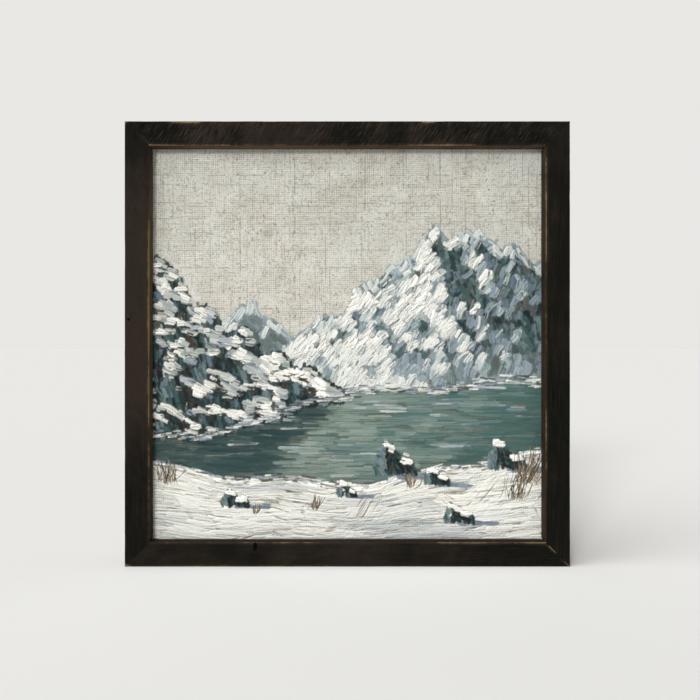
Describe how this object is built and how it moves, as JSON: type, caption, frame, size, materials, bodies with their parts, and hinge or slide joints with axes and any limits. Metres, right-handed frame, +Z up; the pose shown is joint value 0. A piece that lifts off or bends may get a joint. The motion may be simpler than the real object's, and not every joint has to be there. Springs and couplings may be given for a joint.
{
  "type": "framed canvas picture",
  "caption": "Square painted canvas on wooden stretcher bars, held in a deep mitred frame of dark worn wood with a sawtooth hanger.",
  "frame": {"origin": "middle of the bounding box in plan, at the underside of the bottom rail", "axes": "+Z up, +X to the right as seen from the front, the painted face towards -Y and the wall side towards +Y"},
  "size_m": [0.343, 0.0416, 0.3429],
  "materials": {
    "stained_wood": "near-black brown stain, hand-worn at the edges, matt",
    "raw_pine": "bare planed pine",
    "painted_canvas": "plain-woven canvas, painted in thick strokes in front and bare behind",
    "zinc_steel": "zinc plated, dull",
    "brass_plate": "brass plated",
    "rubber": "moulded, matt"
  },
  "bodies": {
    "root": {"rail_top": "stained_wood", "rail_right": "stained_wood", "rail_bottom": "stained_wood", "rail_left": "stained_wood", "stretcher_top": "raw_pine", "stretcher_right": "raw_pine", "stretcher_bottom": "raw_pine", "stretcher_left": "raw_pine", "canvas": "painted_canvas", "clip_left_low": "zinc_steel", "screw_left_low": "zinc_steel", "clip_left_high": "zinc_steel", "screw_left_high": "zinc_steel", "clip_right_low": "zinc_steel", "screw_right_low": "zinc_steel", "clip_right_high": "zinc_steel", "screw_right_high": "zinc_steel", "hanger": "brass_plate", "nail_left": "brass_plate", "bumper_left": "rubber", "nail_right": "brass_plate", "bumper_right": "rubber"}
  },
  "joints": []
}
